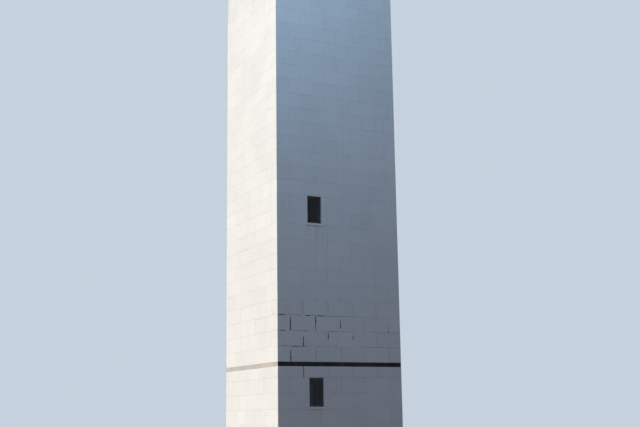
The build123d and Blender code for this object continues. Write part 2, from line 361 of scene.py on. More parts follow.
class Blockwork:
    """Collects the faces of many blocks into one mesh."""

    def __init__(self, face, inner=False, cell=CELL, set_back=0.0):
        origin, along, out = FACES[face]
        origin = origin - out * set_back
        if inner:
            origin = origin + along * SIDE - out * WALL
            along, out = -along, -out
        self.origin, self.along, self.out = origin, along, out
        self.cell = cell
        self.face = face
        self.open_share = 0.0 if inner else SOUND_FACE_SHARE if face == "left" else 1.0
        self.points, self.polygons = [], []
        self.values = {"tone": [], "edge": []}

    def place(self, u, v, w):
        return self.origin + self.along * u + self.out * w + Vector((0, 0, v))

    def add_point(self, u, v, w, tone, edge):
        self.points.append(self.place(u, v, w))
        self.values["tone"].append(tone)
        self.values["edge"].append(edge)

    def add_block(self, start, end, bottom, top, start_kind, end_kind, tone):
        """Add one block's face, rounded at its edges, with sides that run back into the wall."""
        course = round((bottom - SHAFT_FOOT) / COURSE)
        middle_u, middle_v = (start + end) / 2, (bottom + top) / 2
        cracked = self.open_share == 1.0 and abs(middle_v - OPEN_MIDDLE) < OPEN_REACH + COURSE / 2
        cell = FINE_CELL if cracked else self.cell
        columns = grid_lines(start, end, start_kind, end_kind, cell)
        rows = grid_lines(bottom, top, "joint", "joint", cell)
        lean = nod = 0.0
        if "corner" not in (start_kind, end_kind):
            key = (round(start, 3), round(bottom, 3), *self.out)
            lean, nod = tone_of("lean", *key) * LEAN, tone_of("nod", *key) * NOD
        front = []
        for row_v, drop_v, near_v, way_v in rows:
            for column, (column_u, drop_u, near_u, way_u) in enumerate(columns):
                u, v = column_u, row_v
                near = max(near_u, near_v)
                at_corner = near_u == 0 and column in (0, len(columns) - 1)
                if at_corner:
                    u = -PROUD if way_u < 0 else SIDE + PROUD
                spot = self.place(u, v, PROUD)
                wave = noise.noise(spot * 3.1) + 0.5 * noise.noise(spot * 9.0)
                w = PROUD - max(drop_u, drop_v) + SURFACE_WAVE * wave
                w += lean * (u - middle_u) + nod * (v - middle_v)
                if near:
                    wobble = EDGE_WOBBLE * noise.noise(spot * 17.0)
                    rough = self.open_share * ragged(spot + Vector((3 * way_u, 0, 5 * way_v)))
                if near_u:
                    gap = 0.0
                    if (start_kind if way_u < 0 else end_kind) == "joint":
                        share = (v - bottom) / COURSE
                        gap = upright_gap(self.face, course, start if way_u < 0 else end, share, spot)
                    u -= way_u * (wobble + OPEN_WIDTH_UPRIGHT * gap * rough)
                if near_v:
                    gap = level_gap(self.face, course + (1 if way_v > 0 else 0), column_u, spot)
                    v -= way_v * (wobble + OPEN_WIDTH_LEVEL * gap * rough)
                if at_corner:
                    u = -w if way_u < 0 else SIDE + w
                front.append((u, v, w, near))
        first = len(self.points)
        for u, v, w, near in front:
            self.add_point(u, v, w, tone, near)
        wide, tall = len(columns), len(rows)
        for j in range(tall - 1):
            for i in range(wide - 1):
                a = first + j * wide + i
                self.polygons.append((a, a + 1, a + wide + 1, a + wide))
        rim = list(range(wide))
        rim += [j * wide + wide - 1 for j in range(1, tall)]
        rim += [(tall - 1) * wide + i for i in range(wide - 2, -1, -1)]
        rim += [j * wide for j in range(tall - 2, 0, -1)]
        back_first = len(self.points)
        for index in rim:
            u, v = front[index][:2]
            column = index % wide
            if start_kind == "corner" and column == 0:
                u = EMBED
            if end_kind == "corner" and column == wide - 1:
                u = SIDE - EMBED
            self.add_point(u, v, -EMBED, tone, 1.0)
        count = len(rim)
        for k in range(count):
            n = (k + 1) % count
            self.polygons.append((first + rim[k], back_first + k, back_first + n, first + rim[n]))
        self.polygons.append(tuple(back_first + k for k in reversed(range(count))))

    def add_inner_block(self, start, end, bottom, top, start_kind, end_kind, tone):
        """Add the inner face of a block that stands in the outer face, if enough of it shows inside."""
        low, high = max(SIDE - end, WALL), min(SIDE - start, SIDE - WALL)
        kinds = ["reveal" if kind == "reveal" else "joint" for kind in (end_kind, start_kind)]
        if high - low > MIN_BLOCK:
            self.add_block(low, high, bottom, top, *kinds, tone)

    def finish(self, name, material):
        mesh = bpy.data.meshes.new(name)
        mesh.from_pydata(self.points, [], self.polygons)
        for key, values in self.values.items():
            mesh.attributes.new(key, "FLOAT", "POINT").data.foreach_set("value", values)
        finish_piece(new_piece(name, mesh), material)


def add_courses(face, rows, foot, course_at_foot, outside, inside, ceiling=math.inf):
    """Add the outer and inner faces of a wall's blocks, in rows that are counted up from its foot."""
    for row in rows:
        bottom = foot + row * COURSE
        course = course_at_foot + row
        top = BAND_FOOT if course == BAND_COURSES_UP - 1 else bottom + COURSE
        for start, end, *rest in course_blocks(face, course, bottom):
            outside.add_block(start, end, bottom, top, *rest)
            inside.add_inner_block(start, end, bottom, min(bottom + COURSE, ceiling), *rest)


def storey_blocks(face, storey):
    """One storey's blocks on one side, outside and in the room; the last storey runs on up to the deck."""
    first = (storey - 1) * COURSES_PER_STOREY
    last, ceiling = SHAFT_COURSES, SHAFT_TOP
    if storey < STOREYS:
        last, ceiling = first + COURSES_PER_STOREY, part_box(f"floor_storey_{storey + 1}")[0].z
    outside, inside = Blockwork(face), Blockwork(face, inner=True, cell=ROOM_CELL)
    add_courses(face, range(first, last), SHAFT_FOOT, 0, outside, inside, ceiling)
    outside.finish(f"{face}_blocks_storey_{storey}", limewash)
    inside.finish(f"{face}_room_blocks_storey_{storey}", room_paint)


def band_stones(face):
    """The bare stones of the band on one side, a little behind the painted blocks."""
    work = Blockwork(face, set_back=BAND_SET_BACK)
    length = SIDE / BAND_STONES
    for number in range(BAND_STONES):
        tone = tone_of("band", face, number)
        work.add_block(number * length, (number + 1) * length, BAND_FOOT, BAND_TOP, "joint", "joint", tone)
    # The left side's pale stone carries painted sunlight, the other sides' near-black stone painted shade.
    work.finish(f"band_stones_{face}", band_stone_painted_sun if face == "left" else band_stone_painted_shade)


def parapet_blocks(face):
    """The parapet's blocks on one side, outside and inside."""
    low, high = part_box(f"parapet_{face}")
    outside, inside = Blockwork(face), Blockwork(face, inner=True)
    add_courses(face, range(round((high.z - low.z) / COURSE)), low.z, SHAFT_COURSES, outside, inside)
    outside.finish(f"parapet_blocks_{face}", limewash)
    inside.finish(f"parapet_inner_blocks_{face}", limewash)


# Materials

class Nodes:
    """A node tree that is built step by step."""

    def __init__(self, tree):
        self.tree = tree

    def fill(self, node, inputs):
        """Set inputs to numbers or colours, or join them to other nodes' outputs; None leaves one alone."""
        for key, value in inputs.items():
            if isinstance(value, bpy.types.NodeSocket):
                self.tree.links.new(value, node.inputs[key])
            elif value is not None:
                node.inputs[key].default_value = value

    def add(self, kind, inputs, **settings):
        """Add a node and return its outputs."""
        made = self.tree.nodes.new("ShaderNode" + kind)
        for key, value in settings.items():
            setattr(made, key, value)
        self.fill(made, inputs)
        return made.outputs

    def maths(self, operation, a, b=0.0):
        return self.add("Math", {0: a, 1: b}, operation=operation)[0]

    def times(self, a, b):
        return self.maths("MULTIPLY", a, b)

    def larger(self, a, b):
        return self.maths("MAXIMUM", a, b)

    def seen_by_eye(self):
        """1 on camera, glossy and transmission rays, else 0."""
        path = self.add("LightPath", {})
        seen = self.larger(path["Is Camera Ray"], path["Is Glossy Ray"])
        return self.larger(seen, path["Is Transmission Ray"])


class Shader(Nodes):
    """A material; every value is in metres and object space.

    A texture is the scale, detail and roughness of a noise, and how far it is stretched along each axis.
    """

    def __init__(self, name, roughness):
        self.material = bpy.data.materials.new(name)
        self.material.use_nodes = True
        super().__init__(self.material.node_tree)
        self.surface = self.tree.nodes["Principled BSDF"]
        self.fill(self.surface, {"Roughness": roughness})
        self.place = self.add("TexCoord", {})["Object"]

    def noise(self, scale, detail=3.0, rough=0.55, stretched=None):
        place = self.place
        if stretched:
            place = self.add("Mapping", {"Scale": stretched, "Vector": place})["Vector"]
        inputs = {"Scale": scale, "Detail": detail, "Roughness": rough, "Vector": place}
        return self.add("TexNoise", inputs)["Fac"]

    def ramp(self, value, low, high, out_low=0.0, out_high=1.0, smooth=False):
        """Map a value from one range to another, clamped."""
        inputs = {"Value": value, "From Min": low, "From Max": high, "To Min": out_low, "To Max": out_high}
        kind = "SMOOTHSTEP" if smooth else "LINEAR"
        return self.add("MapRange", inputs, clamp=True, interpolation_type=kind)["Result"]

    def patches(self, texture, low, high, *out):
        """A noise texture mapped from one range to another."""
        return self.ramp(self.noise(*texture), low, high, *out)

    def cells(self, scale, place=None, **settings):
        """The distance in a pattern of cells."""
        return self.add("TexVoronoi", {"Scale": scale, "Vector": place or self.place}, **settings)["Distance"]

    def axis(self, letter):
        return self.add("SeparateXYZ", {0: self.place})[letter]

    def apart(self, a, b):
        """How far two values are apart."""
        return self.maths("ABSOLUTE", self.maths("SUBTRACT", a, b))

    def plan_reach(self, operation):
        """The larger or the smaller of a place's two distances from the middle in plan."""
        return self.maths(operation, *(self.maths("ABSOLUTE", self.axis(letter)) for letter in "XY"))

    def blend(self, factor, a, b):
        return self.add("Mix", {"Factor": factor, 6: a, 7: b}, data_type="RGBA")[2]

    def coat(self, colour, *layers):
        """Lay colours over one another, each as (colour, share, amount of that share)."""
        for layer, share, amount in layers:
            colour = self.blend(self.times(share, amount), colour, layer)
        return colour

    def brightness(self, colour, value):
        """Multiply a colour by a number."""
        return self.add("VectorMath", {0: colour, "Scale": value}, operation="SCALE")[0]

    def soft_edges(self, radius):
        """Shading that rounds the sharp edges of a solid."""
        return self.add("Bevel", {"Radius": radius}, samples=4)["Normal"]

    def bump(self, height, distance, strength=1.0, under=None):
        inputs = {"Strength": strength, "Distance": distance, "Height": height, "Normal": under}
        return self.add("Bump", inputs)["Normal"]

    def finish(self, colour, roughness=None, normal=None):
        self.fill(self.surface, {"Base Color": colour, "Roughness": roughness, "Normal": normal})
        return self.material


LIMEWASH = (0.80, 0.775, 0.72, 1)
LIMEWASH_GREY = (0.60, 0.59, 0.57, 1)
GRIME = (0.22, 0.205, 0.18, 1)
# Painted shade for the inside of open joints
OPEN_JOINT_SHADE = (0.03, 0.03, 0.032, 1)
SOOT = (0.20, 0.205, 0.21, 1)
UNDERCOAT = (0.55, 0.53, 0.49, 1)
ALGAE = (0.20, 0.225, 0.13, 1)
RUST = (0.20, 0.095, 0.045, 1)
BARE_STEEL = (0.50, 0.50, 0.49, 1)
METAL_ROUNDING = 0.0025
STONE_ROUNDING = 0.005

# How far the streaks run down below the sills and the deck, and how high the dirt reaches at the foot
SILLS = [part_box(f"front_window_sill_{number}")[0].z for number in (1, 2)]
window_low, window_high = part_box("front_window_frame_1")
WINDOW_HALF = (window_high.x - window_low.x) / 2
WINDOW_X = (window_low.x + window_high.x) / 2
SILL_RUN = 1.1
DECK_RUN = 1.3
SPLASH_RUN = 0.95
ALGAE_RUN = 0.45


def just_below(shader, height, top, run):
    """1 just under a height, fading to 0 over a run below it."""
    return shader.times(shader.ramp(height, top - run, top), shader.ramp(height, top, top + 0.01, 1.0, 0.0))


def under_windows(shader):
    """1 in the upright strips of the front and back that hold the windows, which are a half turn apart."""
    turned = shader.times(shader.axis("X"), shader.maths("SIGN", shader.axis("Y")))
    aside = shader.maths("ABSOLUTE", shader.maths("ADD", turned, WINDOW_X))
    strip = shader.ramp(aside, WINDOW_HALF, WINDOW_HALF + 0.09, 1.0, 0.0, smooth=True)
    outer = shader.ramp(shader.maths("ABSOLUTE", shader.axis("Y")), HALF - 0.05, HALF - 0.03)
    return shader.times(strip, outer)


def flaked(shader):
    """1 on the small islands where the last coat of paint has come off."""
    return shader.times(shader.patches((8.0, 7.0, 0.62), 0.635, 0.65), shader.patches((1.3, 2.0), 0.45, 0.6))


def pinholes(shader):
    """1 in small holes of uneven size that come in groups."""
    crowd = shader.patches((5.0, 3.0), 0.45, 0.7, 0.0, 0.2)
    return shader.ramp(shader.maths("SUBTRACT", crowd, shader.cells(38.0)), -0.02, 0.02)


def hairlines(shader):
    """1 along the fine cracks of old paint, in patches."""
    bend = shader.add("TexNoise", {"Scale": 6.0, "Detail": 4.0, "Vector": shader.place})["Color"]
    inputs = {0: bend, 1: (0.16, 0.16, 0.16), 2: shader.place}
    bent = shader.add("VectorMath", inputs, operation="MULTIPLY_ADD")[0]
    line = shader.ramp(shader.cells(3.2, bent, feature="DISTANCE_TO_EDGE"), 0.002, 0.007, 1.0, 0.0)
    return shader.times(line, shader.patches((1.9, 3.0), 0.5, 0.62))


def limewash_colour(shader, worn=True, soiled=1.0):
    """Brushed white lime paint: cloudy, streaked downwards, a little flaked and soiled near the ground."""
    height = shader.axis("Z")
    runs = shader.patches((1.0, 4.0, 0.6, (17, 17, 0.4)), 0.44, 0.68)
    sills = [shader.times(under_windows(shader), just_below(shader, height, top, SILL_RUN)) for top in SILLS]
    colour = shader.coat(
        LIMEWASH,
        (LIMEWASH_GREY, shader.patches((0.8, 4.0), 0.35, 0.7), 0.22),
        (LIMEWASH_GREY, shader.patches((1.0, 4.0, 0.6, (11, 11, 0.55)), 0.56, 0.78), 0.30),
        *((SOOT, shader.times(stain, runs), 0.20) for stain in sills),
        # Darker in streaks just under the deck, fading over a run below it
        (GRIME, shader.times(just_below(shader, height, SHAFT_TOP, DECK_RUN), runs), 0.30))
    if worn:
        colour = shader.coat(colour, (UNDERCOAT, flaked(shader), 0.45), (GRIME, pinholes(shader), 0.6),
                             (GRIME, hairlines(shader), 0.4))
    low = shader.ramp(height, SHAFT_FOOT, SHAFT_FOOT + SPLASH_RUN, 1.0, 0.0, smooth=True)
    coarse, fine = shader.noise(4.0, 4.0), shader.noise(42.0, 4.0, 0.6)
    spots = shader.maths("ADD", shader.times(coarse, 0.5), shader.times(fine, 0.5))
    wet = shader.maths("ADD", spots, shader.times(low, 0.14))
    splash = shader.times(low, shader.ramp(wet, 0.52, 0.68))
    green = shader.ramp(height, SHAFT_FOOT, SHAFT_FOOT + ALGAE_RUN, 1.0, 0.0, smooth=True)
    green = shader.times(green, shader.patches((11.0, 5.0, 0.6), 0.46, 0.66))
    colour = shader.coat(colour, (GRIME, splash, 0.48 * soiled), (ALGAE, green, 0.42 * soiled))
    return shader.brightness(colour, shader.patches((90.0, 2.0), 0.3, 0.7, 0.965, 1.03))


def limewash_normal(shader, worn=True, under=None):
    """Brush marks and grit, and the edges of flakes and pinholes."""
    brush = shader.bump(shader.noise(1.0, 3.0, 0.6, (26, 26, 70)), 0.0022, 0.55, under)
    normal = shader.bump(shader.noise(210.0, 2.0), 0.0008, 0.5, brush)
    if worn:
        hollow = shader.larger(shader.times(flaked(shader), 0.4), pinholes(shader))
        normal = shader.bump(hollow, -0.0015, 0.8, normal)
    return normal


def block_material(name, soiled=1.0):
    """The blocks' faces, each with a tone of its own and grime along its edges."""
    shader = Shader(name, 0.86)
    tone, edge = (shader.add("Attribute", {}, attribute_name=key)["Fac"] for key in ("tone", "edge"))
    colour = limewash_colour(shader, soiled=soiled)
    colour = shader.brightness(colour, shader.ramp(tone, -1, 1, 0.972, 1.015))
    worn = shader.patches((5.0, 4.0), 0.46, 0.68)
    colour = shader.coat(colour, (GRIME, shader.ramp(edge, 0.6, 1.0, 0.0, 0.22), worn))
    return shader.finish(colour, shader.patches((20.0,), 0.3, 0.7, 0.78, 0.93), limewash_normal(shader))


def core_material():
    """What lies behind the blocks' faces: painted shade in open joints and behind the band, limewash
    elsewhere.
    """
    shader = Shader("joints_and_inside", 0.9)
    colour = limewash_colour(shader, worn=False)
    height = shader.axis("Z")
    above = shader.ramp(shader.apart(height, OPEN_MIDDLE), 0.8, 1.15, 1.0, 0.0, smooth=True)
    foot = shader.ramp(height, 0.4, 1.6, 0.6, 0.0, smooth=True)
    opening = shader.ramp(shader.larger(above, foot), 0.1, 0.4)
    inward = shader.ramp(shader.axis("X"), -HALF + 0.01, -HALF + 0.02, SOUND_FACE_SHARE, 1.0)
    from_band = shader.apart(height, (BAND_FOOT + BAND_TOP) / 2)
    band_joint_shade = shader.ramp(from_band, BAND_HEIGHT / 2, BAND_HEIGHT / 2 + 0.001, 1.0, 0.0)
    opening = shader.larger(shader.times(opening, inward), band_joint_shade)
    outside = shader.ramp(shader.plan_reach("MAXIMUM"), HALF - 0.002, HALF - 0.001)
    # Near-black painted shade for open joints that are only a few millimetres deep here, weaker on the left
    # face
    colour = shader.coat(colour, (OPEN_JOINT_SHADE, opening, outside))
    return shader.finish(colour, None, limewash_normal(shader, worn=False))


def rusty_posts(shader):
    """1 round the feet of the rail's posts, in patches."""
    line = HALF - WALL / 2
    longer = shader.apart(shader.plan_reach("MAXIMUM"), line)
    shorter = shader.maths("PINGPONG", shader.plan_reach("MINIMUM"), line)
    squares = (shader.maths("POWER", side, 2.0) for side in (longer, shorter))
    near = shader.maths("SQRT", shader.maths("ADD", *squares))
    return shader.times(shader.ramp(near, 0.05, 0.16, 1.0, 0.0, smooth=True),
                        shader.patches((16.0, 5.0, 0.65), 0.42, 0.66))


def concrete_material(name, pale, dark, mottling=0.5, under_posts=False, rounding=0.0, sheen=0.5):
    """Cast concrete or stone: cloudy, pitted and stained, with rust if it carries the rail's posts."""
    shader = Shader(name, 0.88)
    shader.fill(shader.surface, {"Specular IOR Level": sheen})
    cloud = shader.patches((1.7, 6.0, 0.62), 0.32, 0.70)
    stain = shader.patches((1.0, 5.0, 0.6, (5, 5, 1.2)), 0.55, 0.8)
    hole = shader.ramp(shader.cells(34.0), 0.06, 0.16, 1.0, 0.0)
    hole = shader.times(hole, shader.patches((9.0,), 0.52, 0.6))
    colour = shader.coat(pale, (dark, cloud, mottling), (GRIME, stain, 0.4), (GRIME, hole, 0.6))
    colour = shader.brightness(colour, shader.patches((120.0, 2.0), 0.3, 0.7, 0.95, 1.05))
    if under_posts:
        colour = shader.coat(colour, (RUST, rusty_posts(shader), 0.5))
    under = shader.soft_edges(rounding) if rounding else None
    normal = shader.bump(shader.noise(160.0, 3.0), 0.001, 0.5, shader.bump(hole, -0.003, 0.6, under))
    return shader.finish(colour, shader.ramp(cloud, 0, 1, 0.82, 0.93), normal)


def paint_material(name, colour, worn_colour, roughness, rubbed_above=None):
    """Brushed-on metal paint with dust in patches, and rubbed bright above a height if one is given."""
    shader = Shader(name, roughness)
    dust = shader.patches((9.0, 5.0, 0.6), 0.45, 0.75)
    mixed = shader.coat(colour, (worn_colour, dust, 0.35))
    mixed = shader.brightness(mixed, shader.patches((70.0, 2.0), 0.3, 0.7, 0.94, 1.06))
    if rubbed_above is not None:
        raised = shader.ramp(shader.axis("Z"), rubbed_above + 0.0012, rubbed_above + 0.0022)
        mixed = shader.coat(mixed, (BARE_STEEL, raised, shader.patches((3.5, 4.0), 0.35, 0.6, 0.25, 0.9)))
    mixed = shader.coat(mixed, (RUST, shader.patches((26.0, 5.0, 0.65), 0.66, 0.78), 0.55))
    brush = shader.noise(1.0, 2.0, 0.5, (90, 90, 25))
    normal = shader.bump(brush, 0.0006, 0.4, shader.soft_edges(METAL_ROUNDING))
    return shader.finish(mixed, shader.ramp(dust, 0, 1, roughness - 0.08, roughness + 0.2), normal)


def glass_material():
    """Dark, slightly dusty window glass."""
    shader = Shader("window_glass", 0.05)
    shader.fill(shader.surface, {"Transmission Weight": 1.0, "IOR": 1.32})
    haze = shader.patches((14.0, 5.0, 0.65), 0.42, 0.8)
    colour = shader.blend(haze, (0.072, 0.098, 0.13, 1), (0.115, 0.14, 0.165, 1))
    waves = shader.bump(shader.noise(3.0, 1.0), 0.0015, 0.25)
    return shader.finish(colour, shader.ramp(haze, 0, 1, 0.03, 0.12), waves)


def sill_material():
    """The blocks' paint on a sill with soft edges."""
    shader = Shader("painted_sill", 0.82)
    normal = limewash_normal(shader, under=shader.soft_edges(STONE_ROUNDING))
    return shader.finish(limewash_colour(shader), None, normal)


LID_PLATE = 0.005
LID_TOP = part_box("deck_slab")[1].z + LID_PLATE

limewash = block_material("painted_blocks")
room_paint = block_material("room_paint", soiled=0.35)
core = core_material()
concrete = concrete_material("cast_concrete", (0.50, 0.485, 0.455, 1), (0.34, 0.33, 0.305, 1))
floor_concrete = concrete_material("floor_concrete", (0.42, 0.41, 0.385, 1), (0.30, 0.29, 0.27, 1), 0.6,
                                   rounding=STONE_ROUNDING)
coping_stone = concrete_material("coping_stone", (0.58, 0.565, 0.53, 1), (0.42, 0.41, 0.385, 1),
                                 under_posts=True, rounding=STONE_ROUNDING)
# One bare stone for the band, with painted sunlight (left side) and with painted shade (other sides)
band_stone_painted_sun = concrete_material("band_stone_painted_sun", (0.58, 0.52, 0.45, 1), (0.43, 0.375, 0.315, 1), 0.9)
band_stone_painted_shade = concrete_material("band_stone_painted_shade", (0.044, 0.040, 0.038, 1), (0.022, 0.020, 0.019, 1), 0.9,
                               sheen=0.2)
sill_paint = sill_material()
frame_paint = paint_material("window_frame_paint", (0.016, 0.017, 0.019, 1), (0.07, 0.068, 0.062, 1), 0.42)
door_paint = paint_material("door_frame_paint", (0.022, 0.023, 0.026, 1), (0.09, 0.086, 0.078, 1), 0.45)
rail_paint = paint_material("rail_paint", (0.36, 0.375, 0.39, 1), (0.50, 0.50, 0.485, 1), 0.40)
hatch_paint = paint_material("hatch_paint", (0.27, 0.29, 0.30, 1), (0.40, 0.40, 0.38, 1), 0.45, LID_TOP)
glass = glass_material()

NODE_MATERIALS = (
    ("_wall_", core),
    ("parapet_", core),
    ("base_slab", concrete),
    ("deck_slab", concrete),
    ("floor_storey", floor_concrete),
    ("window_sill", sill_paint),
    ("window_frame", frame_paint),
    ("window_pane", glass),
    ("door_threshold", coping_stone),
    ("door_frame", door_paint),
    ("coping_", coping_stone),
    ("rail_", rail_paint),
    ("hatch_lid", hatch_paint),
)


def dress_nodes():
    """Give every node of the frame its material."""
    for name, node in nodes.items():
        material = next(material for part, material in NODE_MATERIALS if part in name)
        for place in node.material_slots:
            place.material = material


# Cast slabs and coping stones

CAST_CORNER = 0.012
CAST_CORNER_POINTS = 5
CAST_SIDE_POINTS = 160
CAST_ARRIS = 0.004
CAST_ARRIS_ROWS = 4
CAST_HOLD = 0.004
EDGE_WEAR = 0.006
HOLD_WEAR_SHARE = 0.35
UNWORN_FROM_EDGE = 0.022
SLAB_CHAMFER = 0.015
KERB_OUTER = 1.0
KERB_WIDTH = 0.1
MERGE_WITHIN = 0.00005
STONES_PER_COPING = 4
COPING_GAP = 0.007
COPING_BED = 0.006
COPING_BED_LIFT = 0.001
COPING_ROUND = 0.006

# The board mark on a slab's side, from where it lies: (inward, up) for each row
BOARD_MARK_HEIGHT = 0.45
BOARD_MARK = ((0.0, 0.006), (0.0, 0.0025), (0.0013, 0.001), (0.0013, -0.001), (0.0, -0.0025), (0.0, -0.006))

# The foot of the hatch's kerb: (outward, up) for each row
KERB_FOOT = ((0.0, 0.002), (0.002, 0.0), (0.008, 0.0))

# The drip groove under the deck: (inward from the rim, up) for each row
DRIP_GROOVE = ((0.035, 0.0), (0.037, 0.007), (0.045, 0.007), (0.047, 0.0), (0.055, 0.0))


def grown(rectangle, by):
    """A rectangle (x0, y0, x1, y1) grown outwards, or shrunk by a negative amount."""
    x0, y0, x1, y1 = rectangle
    return (x0 - by, y0 - by, x1 + by, y1 + by)


def square(half):
    return (-half, -half, half, half)


def loop_points(rectangle, height):
    """Points round a rectangle with rounded corners, as (place, way outward)."""
    x0, y0, x1, y1 = grown(rectangle, -CAST_CORNER)
    found = []
    for k, (x, y) in enumerate(((x0, y0), (x1, y0), (x1, y1), (x0, y1))):
        corner = []
        for i in range(CAST_CORNER_POINTS):
            turn = math.pi + (k + i / (CAST_CORNER_POINTS - 1)) * math.pi / 2
            way = Vector((math.cos(turn), math.sin(turn), 0))
            corner.append((Vector((x, y, height)) + way * CAST_CORNER, way))
        found.append(corner)
    points = []
    for k, corner in enumerate(found):
        points += corner
        start, way = corner[-1]
        end = found[(k + 1) % 4][0][0]
        for i in range(1, CAST_SIDE_POINTS):
            points.append((start.lerp(end, i / CAST_SIDE_POINTS), way))
    return points


def arris_rows(rectangle, height, turn_from, turn_to, wear, side=1):
    """Rows that round one edge of a casting, with a row on each side that keeps the flats flat.

    The turns are the ways the two faces look, in degrees up from level; side is -1 for a hole.
    """
    first, last = math.radians(turn_from), math.radians(turn_to)
    bisector = (first + last) / 2
    reach = CAST_ARRIS / math.cos((last - first) / 2)
    centre = (-reach * math.cos(bisector), -reach * math.sin(bisector))
    rows = []
    for i in range(CAST_ARRIS_ROWS):
        turn = first + (last - first) * i / (CAST_ARRIS_ROWS - 1)
        rows.append((centre[0] + CAST_ARRIS * math.cos(turn), centre[1] + CAST_ARRIS * math.sin(turn), wear))
    way = math.copysign(1.0, last - first)
    held = []
    for (out, up, _), turn, hold in ((rows[0], first, CAST_HOLD), (rows[-1], last, -CAST_HOLD)):
        place = (out + hold * math.sin(turn) * way, up - hold * math.cos(turn) * way)
        held.append((*place, wear * HOLD_WEAR_SHARE))
    return [(grown(rectangle, side * out), height + up, worn, (bisector, side))
            for out, up, worn in (held[0], *rows, held[1])]


def level_rows(*places):
    """Rows of a casting that aren't worn, from pairs of a rectangle and a height."""
    return [(rectangle, height, 0.0, (0.0, 1)) for rectangle, height in places]


def chipped(spot):
    """How deep an edge has chipped at a place, from 0 to 1."""
    worn = 0.6 * noise.noise(spot * 11.0) + 0.4 * noise.noise(spot * 37.0)
    return 0.15 * (1 + noise.noise(spot * 25.0)) + step(worn, 0.14, 0.42)


def add_casting(shape, rows):
    """Add a cast slab from rows that run over its surface from inside to outside; returns its loops."""
    loops = []
    for rectangle, height, wear, (bisector, side) in rows:
        loop = []
        for point, way in loop_points(rectangle, height):
            if wear:
                inward = Vector((0, 0, -math.sin(bisector))) - way * side * math.cos(bisector)
                point = point + inward * wear * chipped(point)
            loop.append(shape.verts.new(point))
        loops.append(loop)
    add_skin(shape, loops, capped=False)
    return loops


def slab_side(half, top, foot):
    """Rows down the side of a slab: its chamfered upper edge, a board mark and its lower edge."""
    middle = foot + (top - foot) * BOARD_MARK_HEIGHT
    return [*level_rows((square(half - SLAB_CHAMFER - UNWORN_FROM_EDGE), top)),
            *arris_rows(square(half - SLAB_CHAMFER), top, 90, 45, EDGE_WEAR),
            *arris_rows(square(half), top - SLAB_CHAMFER, 45, 0, EDGE_WEAR),
            *level_rows((square(half), top - SLAB_CHAMFER - UNWORN_FROM_EDGE),
                        *((square(half - inward), middle + up) for inward, up in BOARD_MARK),
                        (square(half), foot + UNWORN_FROM_EDGE))]


def base_casting():
    """The base slab with worn edges."""
    low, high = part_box("base_slab")
    rows = level_rows((square(HALF - WALL), high.z))
    rows += slab_side(high.x, high.z, low.z)
    rows += arris_rows(square(high.x), low.z, 0, -90, EDGE_WEAR / 2)
    shape = bmesh.new()
    loops = add_casting(shape, rows)
    shape.faces.new(loops[0])
    shape.faces.new(list(reversed(loops[-1])))
    face_outward(shape)
    for vertex in shape.verts:
        vertex.co.z = max(vertex.co.z, low.z)
    piece = finish_piece(bmesh_piece("base_casting", shape), concrete)
    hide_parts("base_slab")


def deck_casting():
    """The deck slab with worn edges, a drip groove under its rim and a kerb round the hatch opening."""
    low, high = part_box("deck_slab")
    deck_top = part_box("parapet_front")[0].z
    lid_low, lid_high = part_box("hatch_lid")
    middle_x, middle_y = (lid_low.x + lid_high.x) / 2, (lid_low.y + lid_high.y) / 2
    kerb = grown((middle_x, middle_y, middle_x, middle_y), KERB_OUTER / 2)
    opening = grown(kerb, -KERB_WIDTH)
    rows = level_rows((opening, low.z), (opening, high.z - UNWORN_FROM_EDGE))
    rows += arris_rows(opening, high.z, 0, 90, EDGE_WEAR / 3, side=-1)
    rows += arris_rows(kerb, high.z, 90, 0, EDGE_WEAR / 3)
    rows += level_rows(*((grown(kerb, outward), deck_top + up) for outward, up in KERB_FOOT))
    rows += slab_side(high.x, deck_top, low.z)
    rows += arris_rows(square(high.x), low.z, 0, -90, EDGE_WEAR)
    rows += level_rows(*((square(high.x - inward), low.z + up) for inward, up in DRIP_GROOVE),
                       (opening, low.z))
    shape = bmesh.new()
    add_casting(shape, rows)
    bmesh.ops.remove_doubles(shape, verts=shape.verts, dist=MERGE_WITHIN)
    face_outward(shape)
    piece = finish_piece(bmesh_piece("deck_casting", shape), concrete)
    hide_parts("deck_slab")


def coping_stones(face):
    """The coping of one side as separate stones on a mortar bed, mitred at the corners."""
    low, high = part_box(f"coping_{face}")
    outer = max(abs(low.x), abs(high.x), abs(low.y), abs(high.y))
    inner = outer - min(high.x - low.x, high.y - low.y)
    slip = COPING_GAP / 2
    shape = bmesh.new()
    for number in range(STONES_PER_COPING):
        first, last = number == 0, number == STONES_PER_COPING - 1
        start = -HALF + number * SIDE / STONES_PER_COPING + slip
        end = -HALF + (number + 1) * SIDE / STONES_PER_COPING - slip
        outline = [(-outer + slip if first else start, -outer), (outer - slip if last else end, -outer),
                   (inner - slip if last else end, -inner), (-inner + slip if first else start, -inner)]
        add_prism(shape, outline, low.z, high.z)
    bed = COPING_BED
    outline = [(-outer + 2 * bed, -outer + bed), (outer - 2 * bed, -outer + bed),
               (inner, -inner - bed), (-inner, -inner - bed)]
    add_prism(shape, outline, low.z + COPING_BED_LIFT, high.z - bed)
    turn_to(shape, face)
    piece = bmesh_piece(f"coping_stones_{face}", shape, COPING_ROUND, 3)
    finish_piece(piece, coping_stone)
    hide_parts(f"coping_{face}")


# The rail's welds and bolts

RAIL_PLATE = 0.008
RAIL_TUBE = 0.04
MID_RAIL_DROP = 0.19
BOLT_FROM_POST = 0.038
WASHER = 0.0025
WASHER_SHARE = 1.7
WELD_RADIUS = 0.0042
WELD_STEP = 0.0045
WELD_RIPPLE = 0.16
WELD_SIDES = 6
BOLT_ROUNDING = 0.0012

# A bolt's size is the radius of its head and the height of its top
RAIL_BOLT = (0.009, 0.011)


